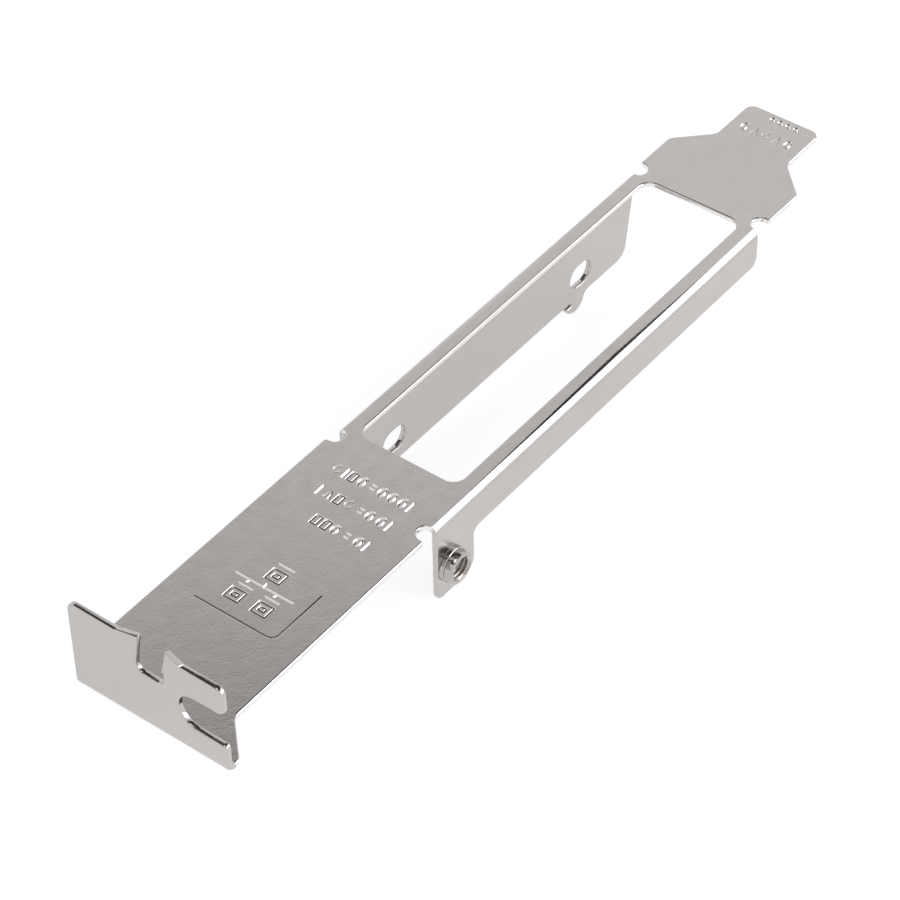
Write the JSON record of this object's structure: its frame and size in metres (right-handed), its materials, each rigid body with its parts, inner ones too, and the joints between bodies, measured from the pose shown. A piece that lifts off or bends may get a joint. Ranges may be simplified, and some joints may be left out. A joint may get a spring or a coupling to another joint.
{
  "type": "expansion slot cover bracket",
  "caption": "Full-height expansion slot cover bracket in plated sheet steel with a long port window, two down-turned flanges, a bent screw tab and a threaded standoff.",
  "frame": {"origin": "on the body's middle line, where the plane of the face plate's outer side meets the plane of the tab's side that sits on the chassis ledge", "axes": "+X along the face plate from the screw tab to the tongue, +Z the face plate's outward normal, +Y towards the deep flange"},
  "size_m": [0.12, 0.0225, 0.025],
  "materials": {
    "plated_sheet": "bright zinc or nickel plate, semi-gloss",
    "plated_turned": "bright plate, turned"
  },
  "bodies": {
    "root": {"bracket": "plated_sheet", "standoff": "plated_turned"}
  },
  "joints": []
}
